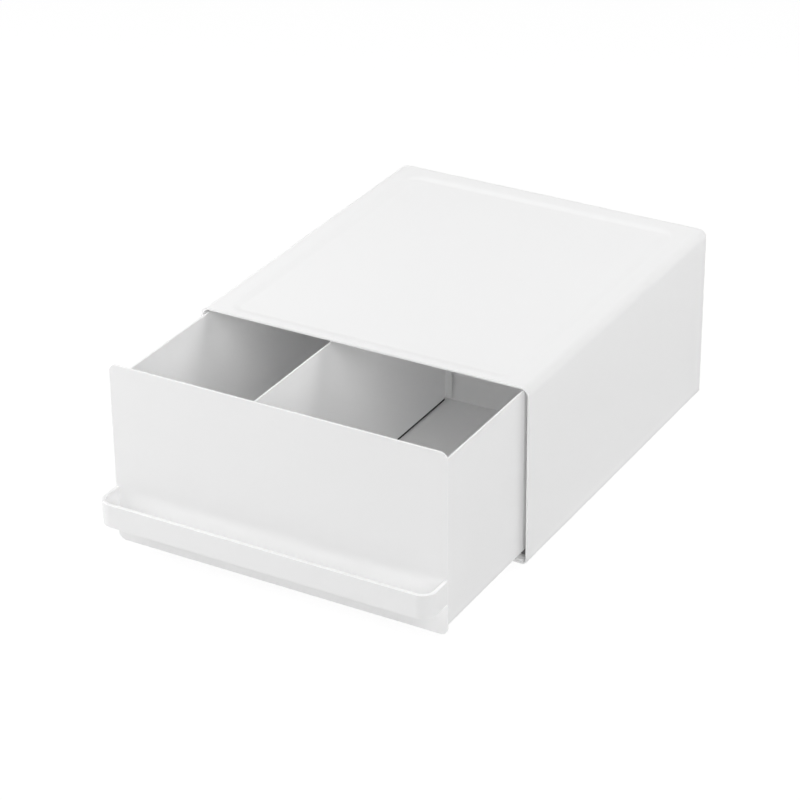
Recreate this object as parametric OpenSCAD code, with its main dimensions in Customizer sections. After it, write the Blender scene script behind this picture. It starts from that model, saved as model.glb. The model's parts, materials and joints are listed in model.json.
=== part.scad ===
// Stackable drawer box: a bent sheet-steel case that is open at the front, and a drawer that slides
// in it on plastic corner glides. Boxes stack: the feet of one stand in the recess pressed into the
// top of the next. All sizes are in millimetres. The drawer is drawn pulled out by "pull".

/* [Case] */
// Width over the two sides
case_w = 200; // [150:1:300]
// Depth from the open mouth to the back
case_d = 224; // [170:1:320]
// Height of the case, without its feet
case_h = 105; // [70:1:180]
// Thickness of the case sheet
sheet_t = 1; // [0.7:0.1:1.4]
// Outer radius of the long top edges and of the edges round the back
case_edge_r = 5; // [3.5:0.5:8]
// Outer radius of the long bottom edges
case_foot_edge_r = 3; // [2.5:0.5:5]
// Width of the hem and of the flange that carry the base at its front and back
base_hem_w = 12; // [8:1:20]

/* [Stacking recess] */
// Depth of the recess pressed into the top
recess_depth = 0.8; // [0.5:0.1:2]
// Width of the pressed slope between rim and recess floor
recess_step_w = 7; // [5:0.5:8]
// Width of the flat rim at the two sides
rim_side = 12.5; // [10:0.5:20]
// Width of the flat rim at the mouth
rim_front = 3.5; // [3:0.5:15]
// Width of the rim at the back
rim_back = 12.5; // [9:0.5:20]
// Corner radius of the recess, at the rim
recess_corner_r = 10; // [9:1:16]

/* [Feet] */
// Height that the feet hold the case off the surface
foot_h = 3; // [2.5:0.5:5]
// Diameter of a foot where it meets the case
foot_d = 14; // [10:1:16]
// How much narrower a foot is at the surface
foot_taper = 1; // [0.5:0.5:3]
// Diameter of the shallow dish in the underside of a foot
foot_dish_d = 7; // [4:0.5:8]
// Depth of that dish
foot_dish_h = 0.5; // [0.3:0.1:1.2]
// Play of the feet inside the recess of the box below
foot_play = 0.5; // [0.3:0.1:2]
// How far the flanges under the base reach past the feet
foot_margin = 2.5; // [1:0.5:8]

/* [Drawer] */
// How far the drawer is drawn out of the case
pull = 86; // [10:1:120]
// Thickness of the drawer sheet
drawer_t = 1; // [0.7:0.1:1.4]
// Gap between the drawer and each side of the case
side_gap = 3; // [2:0.1:4]
// Gap between the drawer floor and the base under it
floor_lift = 2.8; // [2:0.1:5]
// Gap between the drawer's side walls and the underside of the case top
wall_top_gap = 1.4; // [1:0.1:6]
// Gap between the drawer's back wall and the underside of the recess
back_top_gap = 2.7; // [1:0.1:6]
// Outer radius of the bend between the drawer's floor and its sides
tray_bend_r = 2; // [1.5:0.5:5]
// Outer radius of the small bends at the drawer's corners
flange_bend_r = 2; // [1.5:0.5:3]
// Width of the flanges that join the drawer's sheets
drawer_flange_w = 8; // [6:0.5:14]
// Gap between the drawer's back wall and the bend that it sits in
wall_fit = 0.05; // [0.03:0.01:0.1]

/* [Drawer front] */
// Thickness of the front panel
front_t = 1; // [0.8:0.1:2]
// Corner radius of the front panel
front_corner_r = 4.5; // [2:0.5:10]
// Gap between the front panels of two stacked boxes
front_gap = 1.8; // [0.3:0.1:3]
// Gap left between the closed front panel and the mouth of the case
closed_gap = 0.5; // [0.3:0.1:2]

/* [Handle] */
// Reach of the handle in front of the panel
handle_reach = 19; // [14:1:35]
// Height of the handle strip
handle_h = 13.7; // [8:0.1:25]
// Thickness of the handle strip
handle_t = 2; // [1.5:0.1:3]
// Outer radius of the handle's two bends
handle_bend_r = 8.5; // [5:0.5:13]
// Height of the handle's lower edge above the panel's lower edge
handle_up = 18.8; // [5:0.1:30]

/* [Divider] */
// Distance of the divider's right face from the middle, towards the left
divider_left = 21.3; // [0:0.1:40]
// Thickness of the divider sheet
divider_t = 1; // [0.7:0.1:1.4]
// Height of the divider's lower edge above the drawer floor
divider_lift = 1.5; // [1.2:0.1:4]
// Gap between the soft strip under the divider and the drawer floor
strip_gap = 0.3; // [0.2:0.1:0.6]
// How far the divider's top lies below the drawer's back wall
divider_drop = 0.5; // [0:0.1:10]
// Width of the divider's bent ends
divider_flange_w = 5; // [4:0.5:12]
// Thickness of the magnet strips
magnet_t = 1; // [0.6:0.1:2]
// Gap between a magnet strip and the sheet that it pulls at
magnet_gap = 0.3; // [0.2:0.1:0.6]
// How far a magnet strip stops short of the divider's top and bottom
magnet_end = 5; // [2:1:15]
// How far a magnet strip stops short of the free edge of a bent end
magnet_side = 1; // [0.5:0.5:2]

/* [Glides and stops] */
// Length of a corner glide along the drawer's travel
glide_len = 18; // [14:1:30]
// Reach of a glide under the drawer, from the inside of the case
glide_w = 18; // [15:1:24]
// Height of a glide up the side of the case
glide_side_h = 14; // [9:1:25]
// Running gap between a glide and what slides past it
glide_gap = 0.3; // [0.2:0.1:0.5]
// Gap between a glide and the curved sheet that it is fixed to
glide_fit = 0.1; // [0.05:0.05:0.2]
// Distance of the case glides from the mouth, and of the drawer glides from the drawer's back
glide_inset = 6; // [3:1:15]
// Diameter of the pegs that hold the glides
peg_d = 4; // [3:0.5:5]
// Distance of the pegs from the inner edge of a glide
peg_edge = 6; // [4:0.5:9]
// Radial clearance of a peg in its hole
peg_clear = 0.1; // [0.05:0.05:0.3]
// Height of the snap heads on the pegs under the case
peg_head_h = 0.8; // [0.5:0.1:1.1]
// How far a snap head stands out past its hole
peg_head_lip = 0.7; // [0.4:0.1:1.2]
// Diameter of the soft stops on the case back
bumper_d = 8; // [6:1:14]
// Thickness of the soft stops
bumper_h = 2; // [1.5:0.5:4]
// How much narrower a soft stop is at its face
bumper_taper = 1; // [0.5:0.5:3]
// Gap between the soft stops and the closed drawer
bumper_gap = 0.3; // [0.2:0.1:0.5]
// Distance of the soft stops from the sides of the case
bumper_in = 40; // [25:1:60]

/* [Hidden] */
$fn = 64;
eps = 0.01;
coat = "whitesmoke";
nylon = "gray";
rubber = "dimgray";
magnet = "slategray";

// Case levels and places, with the surface at z = 0 and the mouth at y = 0
case_hw = case_w / 2;
z_case = foot_h;
z_top = z_case + case_h;
z_base = z_case + 2 * sheet_t;
y_joint = case_d - case_edge_r;
y_back_in = case_d - sheet_t;
recess_w = case_w - 2 * rim_side;
recess_d = case_d - rim_front - rim_back;
recess_y = rim_front + recess_d / 2;
z_recess_under = z_top - recess_depth - sheet_t;
flange_gap = 0.5;

// The slope of the recess is two equal arcs: its radius and its turn follow from width and depth
step_r = (pow(recess_step_w, 2) + pow(recess_depth, 2)) / (4 * recess_depth);
step_turn = 2 * atan(recess_depth / recess_step_w);

// Feet stand inside the recess floor of the box below
foot_x = case_hw - rim_side - recess_step_w - foot_play - foot_d / 2;
foot_y_front = rim_front + recess_step_w + foot_play + foot_d / 2;
foot_y_back = case_d - rim_back - recess_step_w - foot_play - foot_d / 2;
flange_x = foot_x - foot_d / 2 - foot_margin;

// Drawer levels and places. The side walls run up to the curved underside of the case's long edges.
drawer_hw = case_hw - sheet_t - side_gap;
into_edge = max(drawer_hw - (case_hw - case_edge_r), 0);
z_edge_under = z_top - case_edge_r + sqrt(pow(case_edge_r - sheet_t, 2) - pow(into_edge, 2));
z_wall_top = z_edge_under - wall_top_gap;
z_tray = z_base + floor_lift;
z_floor = z_tray + drawer_t;
z_back_top = z_recess_under - back_top_gap;
tray_len = y_back_in - bumper_h - bumper_gap + drawer_t + closed_gap;
y_panel = -pull;
y_tray_end = y_panel + tray_len;
y_back_wall = y_tray_end - 2 * drawer_t;
stack_pitch = case_h + foot_h - recess_depth;
front_h = stack_pitch - front_gap;
front_reach = pull + front_t + handle_reach;
z_handle = z_tray + handle_up;

// Glides fill the corner between case and drawer
glide_x = case_hw - sheet_t - glide_w;
z_glide_top = z_base + glide_side_h;
peg_x = glide_x + peg_edge;
case_glide_y = glide_inset;
drawer_glide_y = y_tray_end - glide_inset - glide_len;

// Divider places
divider_x = -divider_left - divider_t;
divider_bend_r = flange_bend_r;
divider_y0 = y_panel + magnet_gap + magnet_t;
divider_y1 = y_back_wall - magnet_gap - magnet_t;
z_divider = z_floor + divider_lift;
divider_h = z_back_top - divider_drop - z_divider;

// The middle of the whole box, handle to back, is put at y = 0
y_middle = (case_d - front_reach) / 2;

// ---- shared shapes ----

// A flat ring sector: a bent sheet seen along its bend
module bend(inner_r, t, from, to) {
    far = 2 * (inner_r + t);
    mid = (from + to) / 2;
    intersection() {
        difference() {
            circle(r = inner_r + t);
            if (inner_r > 0) circle(r = inner_r);
        }
        polygon([[0, 0],
            far * [cos(from), sin(from)],
            far * [cos(mid), sin(mid)],
            far * [cos(to), sin(to)]]);
    }
}

// A rectangle with round corners, centred
module round_rect(w, h, r) {
    square([w - 2 * r, h], center = true);
    square([w, h - 2 * r], center = true);
    for (sx = [-1, 1], sy = [-1, 1])
        translate([sx * (w / 2 - r), sy * (h / 2 - r)]) circle(r = r);
}

// Extrude a shape drawn in x and z along y
module along_y(y0, y1) {
    translate([0, y1, 0]) rotate([90, 0, 0]) linear_extrude(y1 - y0) children();
}

// Extrude a shape drawn in y and z along x
module along_x(x0, x1) {
    translate([x0, 0, 0]) rotate([90, 0, 90]) linear_extrude(x1 - x0) children();
}

// Extrude a shape drawn in x and y along z
module along_z(z0, z1) {
    translate([0, 0, z0]) linear_extrude(z1 - z0) children();
}

// Sweep a profile round a rounded rectangle. The profile's x is its distance from a corner's centre.
module sweep_round_rect(w, h, r) {
    for (turn = [0, 180]) rotate(turn) {
        translate([w / 2 - r, h / 2 - r]) rotate_extrude(angle = 90) children();
        rotate(90) translate([h / 2 - r, w / 2 - r]) rotate_extrude(angle = 90) children();
        translate([w / 2 - r, h / 2 - r, 0]) rotate([90, 0, 0]) linear_extrude(h - 2 * r) children();
        rotate(90) translate([h / 2 - r, w / 2 - r, 0]) rotate([90, 0, 0])
            linear_extrude(w - 2 * r) children();
    }
}

// A left or right copy of what is drawn on the right
module side(s) {
    if (s > 0) children();
    else mirror([1, 0, 0]) children();
}

// ---- case ----

// Outline of the case seen from the mouth, drawn in by "inset"
module case_outline(inset = 0) {
    hw = case_hw - inset;
    low = z_case + inset;
    high = z_top - inset;
    top_r = case_edge_r - inset;
    low_r = case_foot_edge_r - inset;
    translate([-hw, low + low_r]) square([2 * hw, high - top_r - low - low_r]);
    translate([-hw + top_r, low + low_r]) square([2 * (hw - top_r), high - low - low_r]);
    translate([-hw + low_r, low]) square([2 * (hw - low_r), high - top_r - low]);
    for (s = [-1, 1]) {
        translate([s * (hw - top_r), high - top_r]) circle(r = top_r);
        translate([s * (hw - low_r), low + low_r]) circle(r = low_r);
    }
}

// The pressed slope of the stacking recess: a convex arc into a concave one
module recess_slope() {
    translate([recess_corner_r, z_top - step_r])
        bend(step_r - sheet_t, sheet_t, 90, 90 + step_turn);
    translate([recess_corner_r - recess_step_w, z_top - recess_depth + step_r])
        bend(step_r, sheet_t, 270, 270 + step_turn);
}

// Holes through the base for the pegs of the case glides
module peg_holes() {
    for (s = [-1, 1])
        translate([s * peg_x, case_glide_y + glide_len / 2, z_case - eps])
            cylinder(h = 2 * sheet_t + 2 * eps, r = peg_d / 2 + peg_clear);
}

module case_wrap() {
    color(coat) {
        difference() {
            along_y(0, y_joint) difference() {
                case_outline();
                case_outline(sheet_t);
                translate([-flange_x, z_case - eps]) square([2 * flange_x, 2 * sheet_t]);
            }
            translate([0, recess_y, 0]) along_z(z_top - 2 * sheet_t, z_top + eps)
                round_rect(recess_w, recess_d, recess_corner_r);
            peg_holes();
        }
        translate([0, recess_y, 0]) {
            sweep_round_rect(recess_w, recess_d, recess_corner_r) recess_slope();
            along_z(z_recess_under, z_recess_under + sheet_t)
                round_rect(recess_w - 2 * recess_step_w, recess_d - 2 * recess_step_w,
                    recess_corner_r - recess_step_w);
        }
    }
}

// Outline of the case seen from the side, with its round lower back edge
module case_side_outline() {
    low_r = case_foot_edge_r;
    translate([0, z_case + low_r]) square([case_d, case_h]);
    translate([0, z_case]) square([case_d - low_r, case_h]);
    translate([case_d - low_r, z_case + low_r]) circle(r = low_r);
}

module case_back() {
    edge_x = case_hw - case_edge_r;
    z_edge = z_top - case_edge_r;
    inner_r = case_edge_r - sheet_t;
    low_r = case_foot_edge_r;
    flange_hw = flange_x - flange_gap;
    color(coat) intersection() {
        union() {
            // back plate and the bend along its foot, with a flange between the side flanges
            along_y(y_back_in, case_d)
                translate([-edge_x, z_case + low_r]) square([2 * edge_x, z_edge - z_case - low_r]);
            along_x(-edge_x, edge_x)
                translate([case_d - low_r, z_case + low_r]) bend(low_r - sheet_t, sheet_t, 270, 360);
            along_x(-flange_hw, flange_hw)
                translate([case_d - low_r - base_hem_w, z_case]) square([base_hem_w, sheet_t]);
            // bend along the top
            along_x(-edge_x, edge_x) translate([y_joint, z_edge]) bend(inner_r, sheet_t, 0, 90);
            for (s = [-1, 1]) side(s) {
                // upright bend, and the round corner above it
                along_z(z_case, z_edge) translate([edge_x, y_joint]) bend(inner_r, sheet_t, 0, 90);
                translate([edge_x, y_joint, z_edge])
                    rotate_extrude(angle = 90) bend(inner_r, sheet_t, 0, 90);
            }
        }
        along_y(0, case_d + eps) case_outline();
        along_x(-case_w, case_w) case_side_outline();
    }
}

module case_base() {
    plate_hw = case_hw - case_foot_edge_r;
    plate_d = case_d - case_foot_edge_r;
    corner_r = case_edge_r;
    hem_x = flange_x - flange_gap;
    color(coat) difference() {
        union() {
            // plate that lies on the flanges, with a closed hem at the mouth
            along_z(z_case + sheet_t, z_base) {
                translate([-plate_hw, sheet_t]) square([2 * plate_hw, plate_d - sheet_t - corner_r]);
                translate([-plate_hw + corner_r, sheet_t])
                    square([2 * (plate_hw - corner_r), plate_d - sheet_t]);
                for (s = [-1, 1])
                    translate([s * (plate_hw - corner_r), plate_d - corner_r]) circle(r = corner_r);
            }
            along_x(-hem_x, hem_x) {
                translate([sheet_t, z_case + sheet_t]) bend(0, sheet_t, 90, 270);
                translate([sheet_t, z_case]) square([base_hem_w, sheet_t]);
            }
        }
        peg_holes();
    }
}

module foot(x, y) {
    color(rubber) translate([x, y, 0]) difference() {
        cylinder(h = foot_h, r1 = foot_d / 2 - foot_taper / 2, r2 = foot_d / 2);
        translate([0, 0, -eps]) cylinder(h = foot_dish_h + eps, r = foot_dish_d / 2);
    }
}

// A soft stop on the inside of the back, level with the middle of the drawer's back wall
module bumper(s) {
    z_bumper = (z_tray + z_wall_top) / 2;
    color(rubber) translate([s * (case_hw - bumper_in), y_back_in, z_bumper]) rotate([90, 0, 0])
        cylinder(h = bumper_h, r1 = bumper_d / 2, r2 = bumper_d / 2 - bumper_taper / 2);
}

// ---- glides ----

// Outline of the drawer's lower right corner, grown by "grow"
module tray_corner(grow) {
    r = tray_bend_r + grow;
    x1 = drawer_hw + grow;
    z0 = z_tray - grow;
    translate([0, z0 + r]) square([x1, z_glide_top - z0]);
    translate([0, z0]) square([x1 - r, z_glide_top - z0]);
    translate([x1 - r, z0 + r]) circle(r = r);
}

// Inside of the case's lower right corner, kept "gap" away from base and side
module case_corner(gap) {
    r = case_foot_edge_r - sheet_t;
    x1 = case_hw - sheet_t - gap;
    z0 = z_base + gap;
    translate([glide_x, z0]) square([x1 - r - glide_x, z_glide_top - z0]);
    translate([glide_x, z0 + r]) square([x1 - glide_x, z_glide_top - z0 - r]);
    translate([x1 - r, z0 + r]) circle(r = r);
}

module case_glide(s) {
    y_mid = case_glide_y + glide_len / 2;
    color(nylon) side(s) {
        along_y(case_glide_y, case_glide_y + glide_len) difference() {
            case_corner(0);
            tray_corner(glide_gap);
        }
        translate([peg_x, y_mid, z_case - peg_head_h])
            cylinder(h = z_base - z_case + peg_head_h + eps, r = peg_d / 2);
        translate([peg_x, y_mid, z_case - peg_head_h])
            cylinder(h = peg_head_h, r1 = peg_d / 2, r2 = peg_d / 2 + peg_head_lip);
    }
}

module drawer_glide(s) {
    y_mid = drawer_glide_y + glide_len / 2;
    color(nylon) side(s) {
        along_y(drawer_glide_y, drawer_glide_y + glide_len) difference() {
            case_corner(glide_gap);
            tray_corner(glide_fit);
        }
        // the peg ends flush with the floor, so that the divider's foot passes over it
        translate([peg_x, y_mid, z_tray - glide_fit - eps])
            cylinder(h = drawer_t + glide_fit + eps, r = peg_d / 2);
    }
}

// ---- drawer ----

// An upright bend and flange at one end of a side wall; dir is 1 at the front and -1 at the back
module upright_flange(y_end, dir) {
    r = flange_bend_r;
    from = dir > 0 ? 270 : 0;
    along_z(z_tray + tray_bend_r + drawer_t, z_wall_top) {
        translate([drawer_hw - r, y_end + dir * r]) bend(r - drawer_t, drawer_t, from, from + 90);
        translate([drawer_hw - drawer_flange_w, y_end - (dir > 0 ? 0 : drawer_t)])
            square([drawer_flange_w - r, drawer_t]);
    }
}

// Floor and two sides, with flanges turned in to carry the front panel and the back wall
module drawer_tray() {
    r = flange_bend_r;
    inner_hw = drawer_hw - drawer_t;
    floor_hw = drawer_hw - tray_bend_r;
    color(coat) difference() {
        union() {
            along_y(y_panel + r, y_tray_end - r) for (s = [-1, 1]) side(s) {
                translate([0, z_tray]) square([floor_hw, drawer_t]);
                translate([floor_hw, z_tray + tray_bend_r])
                    bend(tray_bend_r - drawer_t, drawer_t, 270, 360);
                translate([inner_hw, z_tray + tray_bend_r])
                    square([drawer_t, z_wall_top - z_tray - tray_bend_r]);
            }
            for (s = [-1, 1]) side(s) {
                upright_flange(y_panel, 1);
                upright_flange(y_tray_end, -1);
            }
            // the floor runs on to the panel, and turns up behind the back wall
            along_x(-floor_hw, floor_hw) {
                translate([y_panel, z_tray]) square([r, drawer_t]);
                translate([y_tray_end - r, z_tray + r]) bend(r - drawer_t, drawer_t, 270, 360);
                translate([y_tray_end - drawer_t, z_tray + r])
                    square([drawer_t, drawer_flange_w - r]);
            }
        }
        for (s = [-1, 1])
            translate([s * peg_x, drawer_glide_y + glide_len / 2, z_tray - eps])
                cylinder(h = drawer_t + 2 * eps, r = peg_d / 2 + peg_clear);
    }
}

// Plain back wall, inside the tray's rear flanges. Its lower edge is rounded off to sit in the bend
// between the floor and the flange behind it.
module drawer_back() {
    r = flange_bend_r;
    hw = drawer_hw - r;
    color(coat) along_x(-hw, hw) intersection() {
        translate([y_back_wall, z_floor]) square([drawer_t, z_back_top - z_floor]);
        union() {
            translate([y_tray_end - r, z_tray + r]) circle(r = r - drawer_t - wall_fit);
            translate([y_back_wall, z_tray + r]) square([drawer_t, z_back_top - z_tray - r]);
        }
    }
}

module drawer_front() {
    color(coat) along_y(y_panel - front_t, y_panel)
        translate([0, z_tray + front_h / 2]) round_rect(case_w, front_h, front_corner_r);
}

// A strip bent into a U, with its two ends on the panel
module pull_handle() {
    y_out = y_panel - front_t - handle_reach;
    r = handle_bend_r;
    color(coat) along_z(z_handle, z_handle + handle_h) {
        translate([-case_hw + r, y_out]) square([case_w - 2 * r, handle_t]);
        for (s = [-1, 1]) side(s) {
            translate([case_hw - r, y_out + r]) bend(r - handle_t, handle_t, 270, 360);
            translate([case_hw - handle_t, y_out + r]) square([handle_t, handle_reach - r]);
        }
    }
}

// ---- divider ----

// A flat partition with both ends bent to the right
module divider() {
    r = divider_bend_r;
    flat = divider_flange_w - r;
    color(coat) along_z(z_divider, z_divider + divider_h) translate([divider_x, 0]) {
        translate([0, divider_y0 + r]) square([divider_t, divider_y1 - divider_y0 - 2 * r]);
        translate([r, divider_y0 + r]) bend(r - divider_t, divider_t, 180, 270);
        translate([r, divider_y0]) square([flat, divider_t]);
        translate([r, divider_y1 - r]) bend(r - divider_t, divider_t, 90, 180);
        translate([r, divider_y1 - divider_t]) square([flat, divider_t]);
    }
}

module divider_magnet(y0) {
    color(magnet) translate([divider_x + divider_bend_r, y0, z_divider + magnet_end])
        cube([divider_flange_w - divider_bend_r - magnet_side, magnet_t, divider_h - 2 * magnet_end]);
}

// A soft strip that closes the gap under the flat part of the divider
module divider_foot_strip() {
    y0 = divider_y0 + divider_bend_r;
    y1 = divider_y1 - divider_bend_r;
    color(rubber) translate([divider_x, y0, z_floor + strip_gap])
        cube([divider_t, y1 - y0, divider_lift - strip_gap]);
}

module place() {
    translate([0, -y_middle, 0]) children();
}

place() case_wrap();
place() case_back();
place() case_base();
place() foot(-foot_x, foot_y_front);  // foot_front_left
place() foot(foot_x, foot_y_front);  // foot_front_right
place() foot(-foot_x, foot_y_back);  // foot_back_left
place() foot(foot_x, foot_y_back);  // foot_back_right
place() case_glide(-1);  // case_glide_left
place() case_glide(1);  // case_glide_right
place() bumper(-1);  // bumper_left
place() bumper(1);  // bumper_right
place() drawer_tray();
place() drawer_back();
place() drawer_front();
place() pull_handle();
place() drawer_glide(-1);  // drawer_glide_left
place() drawer_glide(1);  // drawer_glide_right
place() divider();
place() divider_magnet(divider_y0 - magnet_t);  // divider_magnet_front
place() divider_magnet(divider_y1);  // divider_magnet_back
place() divider_foot_strip();
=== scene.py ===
"""Dresses a stackable drawer box of powder-coated sheet steel, round its packed construction.

Every piece gets rounded edges, painted a little lighter as a highlight, and its finish: a matt
powder coat with a fine orange peel on the steel, moulded nylon on the glides, rubber on the feet
and the stops, black rubber on the divider's foot as a dark strip that stands in for the shade in
the gap under it, and ferrite strips on the divider's ends. Lengths are in metres and directions
are the part's own: x to the right, y to the back, z up.
"""

import json
import math

import bpy
from mathutils import Matrix, Vector


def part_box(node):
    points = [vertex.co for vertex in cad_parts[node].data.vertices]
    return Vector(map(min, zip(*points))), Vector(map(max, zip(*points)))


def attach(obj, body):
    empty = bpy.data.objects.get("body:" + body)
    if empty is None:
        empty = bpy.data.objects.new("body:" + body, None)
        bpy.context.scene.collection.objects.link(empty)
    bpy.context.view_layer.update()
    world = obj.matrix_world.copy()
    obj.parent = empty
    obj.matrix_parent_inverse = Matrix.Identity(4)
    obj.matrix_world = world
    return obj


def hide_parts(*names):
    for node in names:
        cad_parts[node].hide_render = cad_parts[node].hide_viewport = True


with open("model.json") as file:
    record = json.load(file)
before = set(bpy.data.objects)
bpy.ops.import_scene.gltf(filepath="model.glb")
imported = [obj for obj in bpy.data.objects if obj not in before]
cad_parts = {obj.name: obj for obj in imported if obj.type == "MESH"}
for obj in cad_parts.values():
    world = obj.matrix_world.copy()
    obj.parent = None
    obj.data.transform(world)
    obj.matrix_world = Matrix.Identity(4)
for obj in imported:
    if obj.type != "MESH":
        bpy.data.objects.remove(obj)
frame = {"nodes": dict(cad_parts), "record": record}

MM = 0.001
nodes = frame["nodes"]
bodies = frame["record"]["behaviour"]["bodies"]
body_of = {node: body for body, members in bodies.items() for node in members}
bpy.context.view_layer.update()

# ---- camera ----

PICTURE_SIDE_PX = 800
FOCAL_LENGTH_PX = 2858.4
SENSOR_WIDTH_MM = 36
NEAREST_SEEN = 0.02
FARTHEST_SEEN = 30
CAMERA_PLACE = Vector((0.6833, -1.2099, 0.7931))
CAMERA_TURN = math.radians(29.815)
CAMERA_DOWN = math.radians(28.181)
CAMERA_ROLL = math.radians(-0.574)


def set_up_camera():
    """A camera in front of the box, to its right and above it, that looks down on the open drawer."""
    lens = bpy.data.cameras.new("camera")
    lens.sensor_width = SENSOR_WIDTH_MM
    lens.lens = FOCAL_LENGTH_PX / PICTURE_SIDE_PX * SENSOR_WIDTH_MM
    lens.clip_start = NEAREST_SEEN
    lens.clip_end = FARTHEST_SEEN
    camera = bpy.data.objects.new("camera", lens)
    bpy.context.scene.collection.objects.link(camera)
    aim = Matrix.Rotation(CAMERA_TURN, 4, "Z") @ Matrix.Rotation(math.pi / 2 - CAMERA_DOWN, 4, "X")
    camera.matrix_world = Matrix.Translation(CAMERA_PLACE) @ aim @ Matrix.Rotation(CAMERA_ROLL, 4, "Z")
    bpy.context.scene.camera = camera


set_up_camera()

# ---- finishes ----

# How finely the relief is broken up, how much each finer layer adds, and how deep it goes
RELIEF_DETAIL = 2
RELIEF_ROUGHNESS = 0.55
RELIEF_DEPTH = 0.1 * MM
# Soft clouds of tone and gloss: how many to a metre, how finely broken up, and how far the gloss goes
CLOUD_SCALE = 14
CLOUD_DETAIL = 1
GLOSS_SPREAD = 0.12
# The middle of a noise that runs from 0 to 1
NOISE_MIDDLE = 0.5


def new_group(name, inputs, outputs):
    """A node group. Each input is given as name, kind and first value, and each output as name and kind."""
    group = bpy.data.node_groups.new(name, "ShaderNodeTree")
    for label, kind, value in inputs:
        socket = group.interface.new_socket(name=label, in_out="INPUT", socket_type="NodeSocket" + kind)
        socket.default_value = value
    for label, kind in outputs:
        group.interface.new_socket(name=label, in_out="OUTPUT", socket_type="NodeSocket" + kind)
    return group, group.nodes.new("NodeGroupInput"), group.nodes.new("NodeGroupOutput")


def make_fine_skin():
    """The skin of a coat or a moulding: fine relief, clouds of tone and gloss, and a lighter tone on its
    rounded edges, a painted highlight.
    """
    group, source, result = new_group(
        "fine_skin",
        [("Colour", "Color", (0.8, 0.8, 0.8, 1)),
         ("Edge Highlight Colour", "Color", (0.9, 0.9, 0.9, 1)),
         ("Roughness", "Float", 0.5),
         ("Relief Size", "Float", 0.7),
         ("Stretch", "Vector", (1, 1, 1)),
         ("Tone Spread", "Float", 0.01)],
        [("Colour", "Color"), ("Roughness", "Float"), ("Height", "Float")])
    add = group.nodes.new
    link = group.links.new
    place = add("ShaderNodeTexCoord")
    stretched = add("ShaderNodeVectorMath")
    stretched.operation = "MULTIPLY"
    link(place.outputs["Object"], stretched.inputs[0])
    link(source.outputs["Stretch"], stretched.inputs[1])
    relief_scale = add("ShaderNodeMath")
    relief_scale.operation = "DIVIDE"
    relief_scale.inputs[0].default_value = 1 / MM
    link(source.outputs["Relief Size"], relief_scale.inputs[1])
    relief = add("ShaderNodeTexNoise")
    relief.inputs["Detail"].default_value = RELIEF_DETAIL
    relief.inputs["Roughness"].default_value = RELIEF_ROUGHNESS
    link(stretched.outputs["Vector"], relief.inputs["Vector"])
    link(relief_scale.outputs[0], relief.inputs["Scale"])
    link(relief.outputs["Fac"], result.inputs["Height"])
    cloud = add("ShaderNodeTexNoise")
    cloud.inputs["Scale"].default_value = CLOUD_SCALE
    cloud.inputs["Detail"].default_value = CLOUD_DETAIL
    link(place.outputs["Object"], cloud.inputs["Vector"])
    centred = add("ShaderNodeMath")
    centred.operation = "SUBTRACT"
    centred.inputs[1].default_value = NOISE_MIDDLE
    link(cloud.outputs["Fac"], centred.inputs[0])
    spread = add("ShaderNodeMath")
    spread.operation = "MULTIPLY_ADD"
    spread.inputs[2].default_value = 1
    link(centred.outputs[0], spread.inputs[0])
    link(source.outputs["Tone Spread"], spread.inputs[1])
    edge = add("ShaderNodeAttribute")
    edge.attribute_name = "painted_edge_highlight"
    edge_highlight = add("ShaderNodeMix")
    edge_highlight.data_type = "RGBA"
    link(edge.outputs["Fac"], edge_highlight.inputs["Factor"])
    link(source.outputs["Colour"], edge_highlight.inputs["A"])
    link(source.outputs["Edge Highlight Colour"], edge_highlight.inputs["B"])
    toned = add("ShaderNodeVectorMath")
    toned.operation = "SCALE"
    link(edge_highlight.outputs["Result"], toned.inputs[0])
    link(spread.outputs[0], toned.inputs["Scale"])
    link(toned.outputs["Vector"], result.inputs["Colour"])
    gloss = add("ShaderNodeMath")
    gloss.operation = "MULTIPLY_ADD"
    gloss.inputs[1].default_value = GLOSS_SPREAD
    link(centred.outputs[0], gloss.inputs[0])
    link(source.outputs["Roughness"], gloss.inputs[2])
    link(gloss.outputs[0], result.inputs["Roughness"])
    return group


FINE_SKIN = make_fine_skin()


def finish(name, tone, edge_highlight, roughness, tone_spread, relief_mm, relief_strength, stretch=(1, 1, 1)):
    """A neutral finish: its tone and the lighter tone painted on its rounded edges as a highlight, its
    gloss, how far its tone wanders, and the size and strength of its relief. A stretch below 1 draws the
    relief out along that axis."""
    material = bpy.data.materials.new(name)
    material.use_nodes = True
    tree = material.node_tree
    shader = tree.nodes["Principled BSDF"]
    skin = tree.nodes.new("ShaderNodeGroup")
    skin.node_tree = FINE_SKIN
    skin.inputs["Colour"].default_value = (tone, tone, tone, 1)
    skin.inputs["Edge Highlight Colour"].default_value = (edge_highlight, edge_highlight, edge_highlight, 1)
    skin.inputs["Roughness"].default_value = roughness
    skin.inputs["Relief Size"].default_value = relief_mm
    skin.inputs["Stretch"].default_value = stretch
    skin.inputs["Tone Spread"].default_value = tone_spread
    relief = tree.nodes.new("ShaderNodeBump")
    relief.inputs["Strength"].default_value = relief_strength
    relief.inputs["Distance"].default_value = RELIEF_DEPTH
    tree.links.new(skin.outputs["Colour"], shader.inputs["Base Color"])
    tree.links.new(skin.outputs["Roughness"], shader.inputs["Roughness"])
    tree.links.new(skin.outputs["Height"], relief.inputs["Height"])
    tree.links.new(relief.outputs["Normal"], shader.inputs["Normal"])
    return material


# Matt white powder coat with a faint orange peel, and a painted highlight on its rounded edges
WHITE_COAT = finish("white_powder_coat", tone=0.9, edge_highlight=0.97, roughness=0.8, tone_spread=0.012,
                    relief_mm=0.9, relief_strength=0.06)
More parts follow.
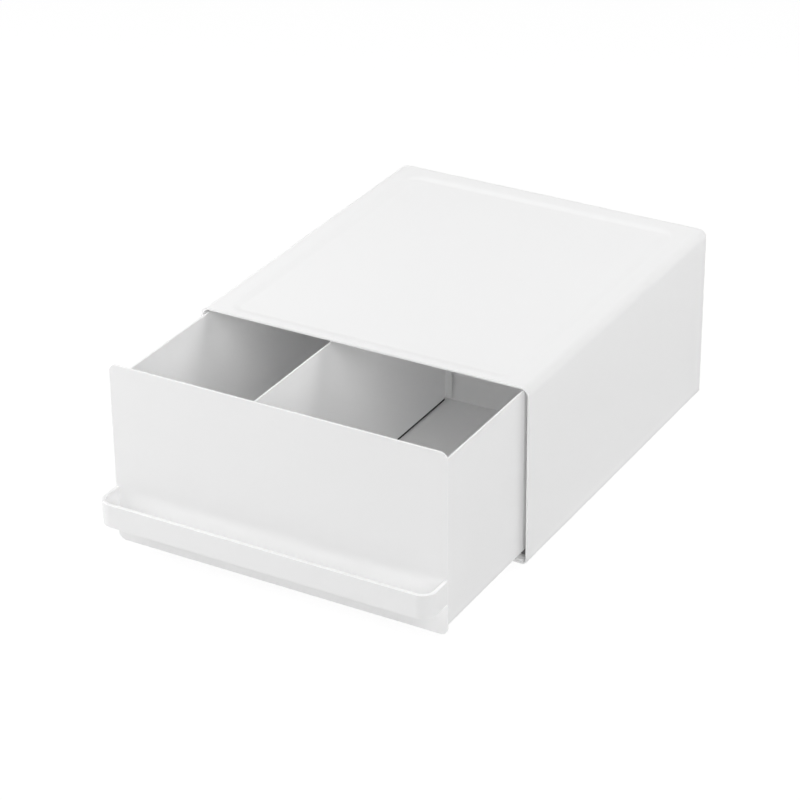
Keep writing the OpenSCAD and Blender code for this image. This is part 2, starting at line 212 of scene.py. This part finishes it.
# Moulded nylon, eroded finish, and a painted highlight on its rounded edges
GREY_NYLON = finish("grey_nylon", tone=0.2, edge_highlight=0.24, roughness=0.45, tone_spread=0.08,
                    relief_mm=0.2, relief_strength=0.35)
# Soft rubber, with a painted highlight on its rounded edges
BLACK_RUBBER = finish("black_rubber", tone=0.035, edge_highlight=0.06, roughness=0.7, tone_spread=0.25,
                      relief_mm=0.35, relief_strength=0.5)
# Rolled ferrite strip, with the drawn grain of the rolls along its length, and a painted highlight on its
# rounded edges
FERRITE_STRIP = finish("ferrite_strip", tone=0.05, edge_highlight=0.08, roughness=0.6, tone_spread=0.2,
                       relief_mm=0.3, relief_strength=0.6, stretch=(1, 1, 0.06))

# ---- rounded edges ----

EDGE_ROUND = 0.25 * MM
SOFT_STRIP_ROUND = 0.1 * MM
EDGE_STEPS = 3
# Corners closer than this are one, and faces that turn by less than this are one
MERGED_WITHIN = 0.002 * MM
FLAT_WITHIN = math.radians(0.3)
# An edge that turns by more than this is sharp
SHARP_FROM = math.radians(40)
# How close an edge lies to the plane where its piece is welded flush
FLUSH_WITHIN = 0.01 * MM
# A face whose normal runs along an axis to within this much is a flat of the piece, and not a rounding
SQUARE_ON = 0.999
# The number of the y axis in a corner's place
DEPTH = 1


def take_up(piece):
    """Makes a piece the only one selected."""
    bpy.ops.object.select_all(action="DESELECT")
    piece.select_set(True)
    bpy.context.view_layer.objects.active = piece


def soften(node, material, round_by=EDGE_ROUND, flush_at=()):
    """Puts a copy of a node in its place, with its edges rounded. flush_at lists the planes, each
    as an axis and a place on it, where the piece is welded flush to its neighbour: those edges stay."""
    mesh = nodes[node].data.copy()
    piece = bpy.data.objects.new(node + "_finished", mesh)
    bpy.context.scene.collection.objects.link(piece)
    take_up(piece)
    bpy.ops.object.mode_set(mode="EDIT")
    bpy.ops.mesh.select_all(action="SELECT")
    bpy.ops.mesh.remove_doubles(threshold=MERGED_WITHIN)
    bpy.ops.mesh.dissolve_limited(angle_limit=FLAT_WITHIN)
    bpy.ops.mesh.select_all(action="DESELECT")
    bpy.ops.mesh.select_mode(type="EDGE")
    bpy.ops.mesh.edges_select_sharp(sharpness=SHARP_FROM)
    bpy.ops.object.mode_set(mode="OBJECT")
    for edge in mesh.edges:
        ends = [mesh.vertices[i].co for i in edge.vertices]
        for axis, at in flush_at:
            if all(abs(end[axis] - at) < FLUSH_WITHIN for end in ends):
                edge.select = False
    bpy.ops.object.mode_set(mode="EDIT")
    bpy.ops.mesh.bevel(offset=round_by, segments=EDGE_STEPS, affect="EDGES", clamp_overlap=True)
    bpy.ops.object.mode_set(mode="OBJECT")
    # Marks the faces that round off the sharp edges: the finishes paint them lighter, as a painted
    # highlight
    rounded = mesh.attributes.new("painted_edge_highlight", "FLOAT", "FACE")
    for face in mesh.polygons:
        is_flat = max(abs(part) for part in face.normal) > SQUARE_ON
        rounded.data[face.index].value = 1.0 if face.select and not is_flat else 0.0
    bpy.ops.object.shade_smooth_by_angle(angle=SHARP_FROM)
    even = piece.modifiers.new("even_shading", "WEIGHTED_NORMAL")
    even.keep_sharp = True
    bpy.ops.object.modifier_apply(modifier=even.name)
    mesh.materials.clear()
    mesh.materials.append(material)
    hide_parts(node)
    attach(piece, body_of[node])


# ---- sheets ----

wrap_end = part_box("case_wrap")[1].y
panel_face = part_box("drawer_front")[0].y
for sheet in ("case_base", "drawer_tray", "drawer_back", "drawer_front", "divider"):
    soften(sheet, WHITE_COAT)
for sheet in ("case_wrap", "case_back"):
    soften(sheet, WHITE_COAT, flush_at=((DEPTH, wrap_end),))
soften("pull_handle", WHITE_COAT, flush_at=((DEPTH, panel_face),))

# ---- moulded and soft pieces ----

for glide in ("case_glide_left", "case_glide_right", "drawer_glide_left", "drawer_glide_right"):
    soften(glide, GREY_NYLON)
for pad in ("foot_front_left", "foot_front_right", "foot_back_left", "foot_back_right",
            "bumper_left", "bumper_right"):
    soften(pad, BLACK_RUBBER)
# The divider's foot strip is black rubber: a dark strip that stands in for the shade in the gap under the
# divider
soften("divider_foot_strip", BLACK_RUBBER, round_by=SOFT_STRIP_ROUND)
for magnet in ("divider_magnet_front", "divider_magnet_back"):
    soften(magnet, FERRITE_STRIP, round_by=SOFT_STRIP_ROUND)

# ---- studio ----

WHITE = (1, 1, 1, 1)
PALE = (0.85, 0.85, 0.85, 1)
FLOOR_SIDE = 24
# The floor's own white, and its share of what the background's rays see: the rest is the lit floor
# with its shadow
FLOOR_GLOW = 1.06
FLOOR_GLOW_SHARE = 0.88


def link_background_rays(tree):
    """1 for the rays that show the background: from the camera, off gloss, and through glass."""
    ray = tree.nodes.new("ShaderNodeLightPath")
    seen_or_mirrored = tree.nodes.new("ShaderNodeMath")
    seen_or_mirrored.operation = "MAXIMUM"
    tree.links.new(ray.outputs["Is Camera Ray"], seen_or_mirrored.inputs[0])
    tree.links.new(ray.outputs["Is Glossy Ray"], seen_or_mirrored.inputs[1])
    any_of_them = tree.nodes.new("ShaderNodeMath")
    any_of_them.operation = "MAXIMUM"
    tree.links.new(seen_or_mirrored.outputs[0], any_of_them.inputs[0])
    tree.links.new(ray.outputs["Is Transmission Ray"], any_of_them.inputs[1])
    return any_of_them.outputs[0]


def lay_floor():
    """A pale floor that is seen as white, apart from the shadow that the box throws on it."""
    bpy.ops.object.select_all(action="DESELECT")
    bpy.ops.mesh.primitive_plane_add(size=FLOOR_SIDE)
    floor = bpy.context.object
    floor.name = "floor"
    material = bpy.data.materials.new("pale_floor")
    material.use_nodes = True
    tree = material.node_tree
    tree.nodes.clear()
    out = tree.nodes.new("ShaderNodeOutputMaterial")
    matt = tree.nodes.new("ShaderNodeBsdfDiffuse")
    matt.inputs["Color"].default_value = PALE
    glow = tree.nodes.new("ShaderNodeEmission")
    glow.inputs["Strength"].default_value = FLOOR_GLOW
    share = tree.nodes.new("ShaderNodeMath")
    share.operation = "MULTIPLY"
    share.inputs[1].default_value = FLOOR_GLOW_SHARE
    tree.links.new(link_background_rays(tree), share.inputs[0])
    mix = tree.nodes.new("ShaderNodeMixShader")
    tree.links.new(share.outputs[0], mix.inputs["Fac"])
    tree.links.new(matt.outputs[0], mix.inputs[1])
    tree.links.new(glow.outputs[0], mix.inputs[2])
    tree.links.new(mix.outputs[0], out.inputs["Surface"])
    floor.data.materials.append(material)


def hang_backdrop():
    """A world that is seen as white and gives the box no light of its own."""
    world = bpy.data.worlds.new("white_studio")
    bpy.context.scene.world = world
    world.use_nodes = True
    tree = world.node_tree
    backdrop = tree.nodes["Background"]
    backdrop.inputs["Color"].default_value = WHITE
    tree.links.new(link_background_rays(tree), backdrop.inputs["Strength"])


AIM = Vector((0, 0, 0.05))
NEAR = 1.1
NEAR_SIZE = 0.8
# A near softbox that hangs low is cut short, clear of the floor
NEAR_LOW_HEIGHT = 0.63
FAR = 2.6
FAR_SIZE = 1.6
LIGHT_BOUNCES = 12


def softbox(name, turn, lift, distance, width, height, power):
    """A softbox at a turn round the box, 0 in front and 90 to its right, and a lift above the floor."""
    data = bpy.data.lights.new(name, "AREA")
    data.shape = "RECTANGLE"
    data.size = width
    data.size_y = height
    data.energy = power
    lamp = bpy.data.objects.new(name, data)
    bpy.context.scene.collection.objects.link(lamp)
    level = math.cos(math.radians(lift))
    away = Vector((math.sin(math.radians(turn)) * level, -math.cos(math.radians(turn)) * level,
                   math.sin(math.radians(lift))))
    lamp.location = AIM + distance * away
    lamp.rotation_euler = away.to_track_quat("Z", "Y").to_euler()


lay_floor()
hang_backdrop()
softbox("left_softbox", 300, 45, NEAR, NEAR_SIZE, NEAR_SIZE, 4.9)
softbox("side_left_softbox", 270, 45, NEAR, NEAR_SIZE, NEAR_SIZE, 2.25)
softbox("right_softbox", 120, 45, NEAR, NEAR_SIZE, NEAR_SIZE, 3.79)
softbox("back_right_softbox", 150, 45, NEAR, NEAR_SIZE, NEAR_SIZE, 2.39)
softbox("low_left_softbox", 300, 15, NEAR, NEAR_SIZE, NEAR_LOW_HEIGHT, 3.49)
softbox("front_right_softbox", 43, 30, FAR, FAR_SIZE, FAR_SIZE, 32.6)

bpy.context.scene.view_settings.view_transform = "Standard"
bpy.context.scene.cycles.diffuse_bounces = LIGHT_BOUNCES
